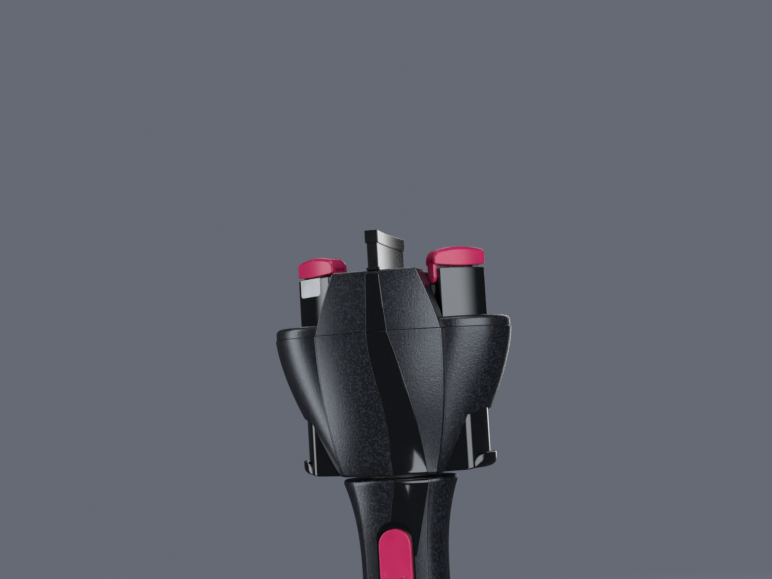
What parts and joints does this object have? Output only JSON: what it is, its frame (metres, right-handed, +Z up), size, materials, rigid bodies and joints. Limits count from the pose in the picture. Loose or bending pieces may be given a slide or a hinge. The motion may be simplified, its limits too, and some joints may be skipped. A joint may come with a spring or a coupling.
{
  "type": "automatic hair braider",
  "caption": "Battery hair braider: a turning head with clip rotors that twist strands, finger levers that open the clips, and a slide switch on a straight grip.",
  "frame": {"origin": "centre of the handle's flat base", "axes": "+Z up along the handle to the head, +X to the right as the switch is faced, -Y the switch side"},
  "size_m": [0.0962, 0.054, 0.2458],
  "materials": {
    "shell": "matte with a fine sparkle grain",
    "gloss": "high gloss",
    "pink": "semi-gloss",
    "pad": "satin",
    "nylon": "satin",
    "dark_plastic": "satin",
    "board": "solder mask",
    "cell": "satin sleeve",
    "spring_steel": "bright",
    "steel": "ground",
    "brass": "bright"
  },
  "bodies": {
    "handle": {"handle_front": "shell", "handle_rear": "shell", "handle_stripe": "gloss", "switch_plate": "gloss", "switch_body": "dark_plastic", "circuit_board": "board", "battery_tray": "dark_plastic", "battery_cells": "cell", "cell_springs": "spring_steel", "bridge_contact": "spring_steel", "terminal_contacts": "spring_steel", "motor": "steel", "gearbox": "nylon", "neck_bush": "nylon", "retaining_ring": "spring_steel", "neck_washer": "gloss", "handle_screws": "steel"},
    "door": {"battery_door": "shell"},
    "switch": {"switch_button": "pink", "switch_slider": "brass"},
    "drive": {"drive_shaft": "steel"},
    "head": {"head_shell": "shell", "head_cover": "shell", "head_stripe": "gloss", "cover_stripe": "gloss", "separator_fin": "gloss", "gear_deck": "nylon", "deck_screws": "steel"},
    "sun": {"sun_shaft": "steel", "sun_gear": "nylon"},
    "left_rotor": {"left_rotor_post": "gloss", "left_rotor_gear": "nylon", "left_grip_pad": "pad", "left_clip_spring": "spring_steel"},
    "left_lift": {"left_clip": "pink", "left_clip_stem": "nylon"},
    "left_lever": {"left_pusher": "gloss"},
    "right_rotor": {"right_rotor_post": "gloss", "right_rotor_gear": "nylon", "right_grip_pad": "pad", "right_clip_spring": "spring_steel"},
    "right_lift": {"right_clip": "pink", "right_clip_stem": "nylon"},
    "right_lever": {"right_pusher": "gloss"}
  },
  "joints": [
    {"name": "door_slide", "type": "slide", "parent": "handle", "child": "door", "axis": [0, 0, 1], "range_m": [-0.068, 0]},
    {"name": "switch_slide", "type": "slide", "parent": "handle", "child": "switch", "axis": [0, 0, 1], "range_m": [-0.002, 0.002]},
    {"name": "drive_spin", "type": "hinge", "parent": "handle", "child": "drive", "pos_m": [0, 0, 0.15], "axis": [0, 0, 1], "continuous": true},
    {"name": "head_turn", "type": "hinge", "parent": "handle", "child": "head", "pos_m": [0, 0, 0.153], "axis": [0, 0, 1], "continuous": true},
    {"name": "sun_spin", "type": "hinge", "parent": "head", "child": "sun", "pos_m": [0, 0, 0.18], "axis": [0, 0, 1], "continuous": true},
    {"name": "left_rotor_spin", "type": "hinge", "parent": "head", "child": "left_rotor", "pos_m": [-0.028, 0, 0.195], "axis": [0, 0, 1], "continuous": true},
    {"name": "left_lever_slide", "type": "slide", "parent": "head", "child": "left_lever", "axis": [0, 0, 1], "range_m": [0, 0.006], "stiffness_N_per_m": 200, "springref_m": -0.003},
    {"name": "left_clip_slide", "type": "slide", "parent": "left_rotor", "child": "left_lift", "axis": [0, 0, 1], "range_m": [0, 0.006], "deforming": ["left_clip_spring"]},
    {"name": "right_rotor_spin", "type": "hinge", "parent": "head", "child": "right_rotor", "pos_m": [0.028, 0, 0.195], "axis": [0, 0, 1], "continuous": true},
    {"name": "right_lever_slide", "type": "slide", "parent": "head", "child": "right_lever", "axis": [0, 0, 1], "range_m": [0, 0.006], "stiffness_N_per_m": 200, "springref_m": -0.003},
    {"name": "right_clip_slide", "type": "slide", "parent": "right_rotor", "child": "right_lift", "axis": [0, 0, 1], "range_m": [0, 0.006], "deforming": ["right_clip_spring"]}
  ],
  "couplings": [
    {"joint": "sun_spin", "follows": "left_rotor_spin", "ratio": -0.75},
    {"joint": "drive_spin", "follows": "left_rotor_spin", "ratio": -0.75},
    {"joint": "right_rotor_spin", "follows": "left_rotor_spin", "ratio": 1},
    {"joint": "left_clip_slide", "follows": "left_lever_slide", "ratio": 1},
    {"joint": "right_clip_slide", "follows": "right_lever_slide", "ratio": 1}
  ]
}
